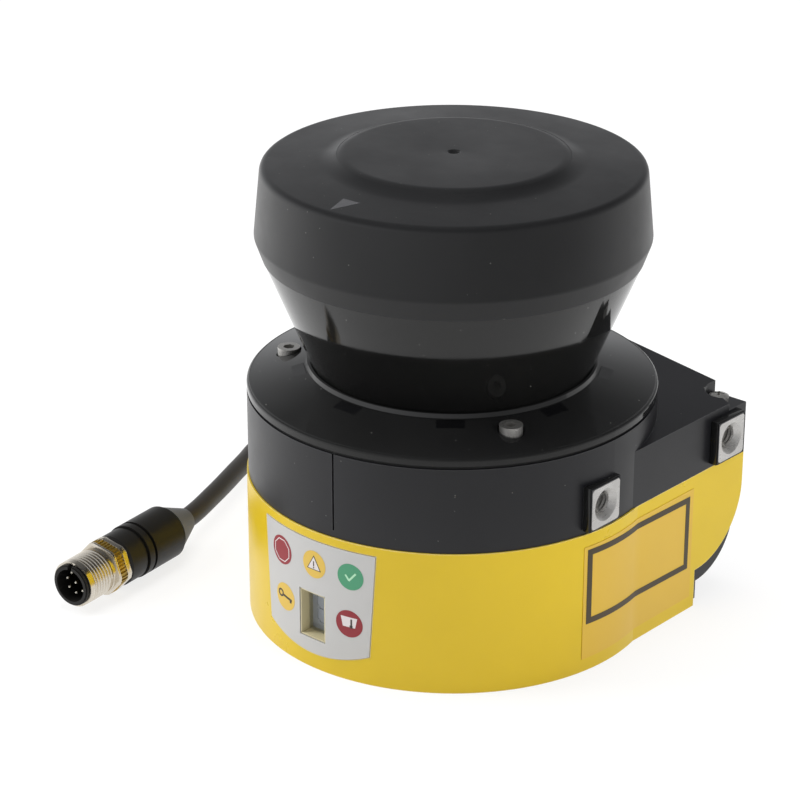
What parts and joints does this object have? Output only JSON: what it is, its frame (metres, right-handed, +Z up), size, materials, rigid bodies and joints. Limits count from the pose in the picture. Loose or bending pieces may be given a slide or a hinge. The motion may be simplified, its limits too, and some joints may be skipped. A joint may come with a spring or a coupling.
{
  "type": "safety laser scanner",
  "caption": "Compact scanner with a round black optics head on a waisted window, a black collar, a yellow front cover with lamps and display, and a short cable with a round plug.",
  "frame": {"origin": "on the scan axis, in the plane of the base", "axes": "+Z up along the scan axis, -Y to the front with the lamps, +X to the scanner's side with the label"},
  "size_m": [0.1499, 0.1749, 0.116],
  "materials": {
    "black_housing": "satin moulded housing with a fine grain",
    "yellow_plastic": "smooth signal yellow cover",
    "cap_plastic": "matte black cap with a fine grain",
    "window_plastic": "polished dark infrared window",
    "panel_film": "light grey printed film",
    "label_film": "printed label film",
    "clear_window": "small clear window",
    "light_guide": "clear light guide",
    "led_body": "milky lamp",
    "display_face": "dark display face",
    "base_metal": "plain sheet",
    "insert_metal": "machined and nickel plated",
    "screw_steel": "bright screws",
    "gasket_rubber": "black seal",
    "circuit_board": "green solder mask",
    "black_parts": "moulded electronic parts",
    "chassis_metal": "die-cast",
    "bearing_steel": "polished steel",
    "motor_copper": "lacquered windings on a core",
    "motor_steel": "drawn steel",
    "encoder_metal": "etched sheet",
    "mirror_glass": "front surface mirror",
    "lens_glass": "ground lens",
    "flex_film": "polyimide film",
    "brass_parts": "turned brass",
    "cable_sheath": "dark grey sheath",
    "plug_black": "black overmould",
    "plug_grey": "grey soft tail",
    "nut_metal": "nickel plated brass, worn to brass at the knurl",
    "contact_gold": "gold plated pins"
  },
  "bodies": {
    "scanner": {"main_housing": "black_housing", "yellow_cover": "yellow_plastic", "base_plate": "base_metal", "base_plate_screws": "screw_steel", "mounting_inserts": "insert_metal", "corner_screws": "screw_steel", "indicator_panel": "panel_film", "display_window": "clear_window", "light_guides": "light_guide", "display_board": "circuit_board", "display_board_screws": "screw_steel", "status_leds": "led_body", "seven_segment_display": "display_face", "side_label": "label_film", "main_board": "circuit_board", "main_board_parts": "black_parts", "main_board_screws": "screw_steel", "cover_gasket": "gasket_rubber", "optics_cover": "window_plastic", "optics_cover_screws": "screw_steel", "optics_cap": "cap_plastic", "optics_chassis": "chassis_metal", "chassis_screws": "screw_steel", "window_sensors": "black_parts", "flex_cable": "flex_film", "shaft_bearings": "bearing_steel", "motor_stator": "motor_copper", "encoder_sensor": "black_parts", "receiver_lens": "lens_glass", "laser_transmitter": "motor_steel", "receiver_board": "circuit_board", "receiver_standoffs": "brass_parts", "cable_gland": "plug_black", "connection_cable": "cable_sheath", "plug_tail": "plug_grey", "plug_body": "plug_black", "plug_insert": "plug_black", "contact_pins": "contact_gold"},
    "rotor": {"motor_bell": "motor_steel", "mirror_shaft": "bearing_steel", "encoder_disc": "encoder_metal", "mirror_carrier": "black_parts", "scan_mirror": "mirror_glass"},
    "nut": {"coupling_nut": "nut_metal"}
  },
  "joints": [
    {"name": "mirror_spin", "type": "hinge", "parent": "scanner", "child": "rotor", "pos_m": [0, 0, 0.06], "axis": [0, 0, 1], "continuous": true},
    {"name": "coupling_nut_turn", "type": "hinge", "parent": "scanner", "child": "nut", "pos_m": [-0.0656, -0.05358, 0.0072], "axis": [0.1219, -0.9925, 0], "continuous": true}
  ]
}
